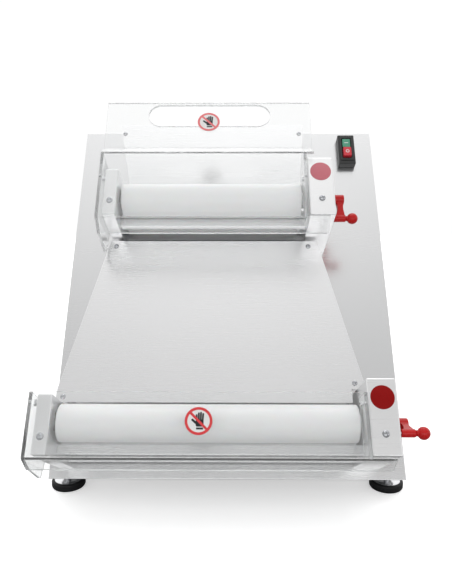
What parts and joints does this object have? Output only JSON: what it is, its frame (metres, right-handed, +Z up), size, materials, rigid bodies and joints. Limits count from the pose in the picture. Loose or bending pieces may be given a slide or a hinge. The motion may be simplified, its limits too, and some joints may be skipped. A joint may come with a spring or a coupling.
{
  "type": "dough sheeter",
  "caption": "Bench-top dough sheeter: two stacked pairs of white rollers on a sloping steel cabinet, with clear guards, a dough chute and red gap levers.",
  "frame": {"origin": "on the floor under the middle of the machine's overall box", "axes": "+X to the operator's right, +Y from the front to the back, +Z up"},
  "size_m": [0.532, 0.543, 0.5836],
  "materials": {
    "stainless": "fine brushed stainless steel",
    "stainless_plate": "satin stainless steel",
    "bright_steel": "polished",
    "rubber": "moulded black rubber",
    "red_film": "self-adhesive film",
    "black_plastic": "satin",
    "green_plastic": "satin",
    "red_button": "satin",
    "motor_paint": "enamel",
    "shaft_steel": "turned",
    "belt_rubber": "toothed belt",
    "white_plastic": "satin",
    "pulley_alloy": "machined",
    "nylon": "smooth white nylon",
    "gear_steel": "machined",
    "bronze": "machined bearing bronze",
    "red_plastic": "moulded red plastic",
    "clear_acrylic": "clear acrylic sheet"
  },
  "bodies": {
    "cabinet": {"front_panel": "stainless", "left_side_panel": "stainless", "right_side_panel": "stainless", "top_panel": "stainless", "rear_cover": "stainless", "base_plate": "stainless", "foot_pads": "rubber", "foot_studs": "bright_steel", "feed_plate": "stainless_plate", "chute_plate": "stainless_plate", "plate_posts": "stainless_plate", "plate_screws": "bright_steel", "bracket_screws": "bright_steel", "marker_discs": "red_film", "switch_housing": "black_plastic", "motor": "motor_paint", "motor_stand": "stainless", "upper_belt": "belt_rubber", "lower_belt": "belt_rubber", "run_capacitor": "white_plastic", "cable_gland": "black_plastic", "rear_bearings": "shaft_steel", "cover_screws": "bright_steel", "upper_left_bracket": "stainless", "upper_right_bracket": "stainless", "upper_scrapers": "stainless", "upper_guard_pins": "bright_steel", "lower_left_bracket": "stainless", "lower_right_bracket": "stainless", "lower_scrapers": "stainless", "lower_guard_pins": "bright_steel"},
    "start_button": {"start_button": "green_plastic"},
    "stop_button": {"stop_button": "red_button"},
    "motor_rotor": {"motor_shaft": "shaft_steel", "motor_pulleys": "pulley_alloy"},
    "upper_rear_assembly": {"upper_rear_roller": "nylon", "upper_rear_shaft": "shaft_steel", "upper_rear_gear": "gear_steel", "upper_rear_pulley": "pulley_alloy"},
    "upper_front_assembly": {"upper_front_roller": "nylon", "upper_front_core": "shaft_steel", "upper_front_gear": "gear_steel"},
    "upper_carriage": {"upper_gap_carriers": "bronze"},
    "upper_lever": {"upper_gap_shaft": "shaft_steel", "upper_gap_lever": "red_plastic"},
    "upper_knob": {"upper_index_knob": "red_plastic"},
    "upper_guard": {"upper_guard": "clear_acrylic"},
    "lower_rear_assembly": {"lower_rear_roller": "nylon", "lower_rear_shaft": "shaft_steel", "lower_rear_gear": "gear_steel", "lower_rear_pulley": "pulley_alloy"},
    "lower_front_assembly": {"lower_front_roller": "nylon", "lower_front_core": "shaft_steel", "lower_front_gear": "gear_steel"},
    "lower_carriage": {"lower_gap_carriers": "bronze"},
    "lower_lever": {"lower_gap_shaft": "shaft_steel", "lower_gap_lever": "red_plastic"},
    "lower_knob": {"lower_index_knob": "red_plastic"},
    "lower_guard": {"lower_guard": "clear_acrylic"}
  },
  "joints": [
    {"name": "upper_rear_spin", "type": "hinge", "parent": "cabinet", "child": "upper_rear_assembly", "pos_m": [-0.022, 0.02523, 0.40127], "axis": [1, 0, 0], "continuous": true},
    {"name": "upper_gap_slide", "type": "slide", "parent": "cabinet", "child": "upper_carriage", "axis": [0, -0.8536, 0.521], "range_m": [0, 0.0052]},
    {"name": "upper_front_spin", "type": "hinge", "parent": "upper_carriage", "child": "upper_front_assembly", "pos_m": [-0.022, -0.01788, 0.42758], "axis": [1, 0, 0], "continuous": true},
    {"name": "upper_lever_turn", "type": "hinge", "parent": "cabinet", "child": "upper_lever", "pos_m": [0.161, -0.0201, 0.42894], "axis": [-1, 0, 0], "range_deg": [0, 120]},
    {"name": "upper_knob_pull", "type": "slide", "parent": "upper_lever", "child": "upper_knob", "axis": [1, 0, 0], "range_m": [0, 0.006], "stiffness_N_per_m": 400, "springref_m": -0.01},
    {"name": "upper_guard_swing", "type": "hinge", "parent": "cabinet", "child": "upper_guard", "pos_m": [-0.022, -0.03052, 0.46061], "axis": [-1, 0, 0], "range_deg": [0, 25]},
    {"name": "lower_rear_spin", "type": "hinge", "parent": "cabinet", "child": "lower_rear_assembly", "pos_m": [-0.022, -0.15504, 0.10594], "axis": [1, 0, 0], "continuous": true},
    {"name": "lower_gap_slide", "type": "slide", "parent": "cabinet", "child": "lower_carriage", "axis": [0, -0.8536, 0.521], "range_m": [-0.0026, 0.0026]},
    {"name": "lower_front_spin", "type": "hinge", "parent": "lower_carriage", "child": "lower_front_assembly", "pos_m": [-0.022, -0.20037, 0.13361], "axis": [1, 0, 0], "continuous": true},
    {"name": "lower_lever_turn", "type": "hinge", "parent": "cabinet", "child": "lower_lever", "pos_m": [0.2215, -0.20037, 0.13361], "axis": [-1, 0, 0], "range_deg": [-60, 60]},
    {"name": "lower_knob_pull", "type": "slide", "parent": "lower_lever", "child": "lower_knob", "axis": [1, 0, 0], "range_m": [0, 0.006], "stiffness_N_per_m": 400, "springref_m": -0.01},
    {"name": "lower_guard_swing", "type": "hinge", "parent": "cabinet", "child": "lower_guard", "pos_m": [-0.022, -0.21079, 0.16528], "axis": [-1, 0, 0], "range_deg": [0, 75]},
    {"name": "motor_spin", "type": "hinge", "parent": "cabinet", "child": "motor_rotor", "pos_m": [0, 0.14085, 0.15], "axis": [1, 0, 0], "continuous": true},
    {"name": "start_press", "type": "slide", "parent": "cabinet", "child": "start_button", "axis": [0, 0.8536, -0.521], "range_m": [0, 0.003], "stiffness_N_per_m": 500, "springref_m": -0.002},
    {"name": "stop_press", "type": "slide", "parent": "cabinet", "child": "stop_button", "axis": [0, 0.8536, -0.521], "range_m": [0, 0.003], "stiffness_N_per_m": 500, "springref_m": -0.002}
  ],
  "couplings": [
    {"joint": "upper_lever_turn", "follows": "upper_gap_slide", "rad_per_m": 403.07},
    {"joint": "upper_rear_spin", "follows": "lower_rear_spin", "ratio": 1},
    {"joint": "upper_front_spin", "follows": "lower_rear_spin", "ratio": -1},
    {"joint": "lower_lever_turn", "follows": "lower_gap_slide", "rad_per_m": 403.07},
    {"joint": "lower_front_spin", "follows": "lower_rear_spin", "ratio": -1},
    {"joint": "motor_spin", "follows": "lower_rear_spin", "ratio": 1}
  ]
}
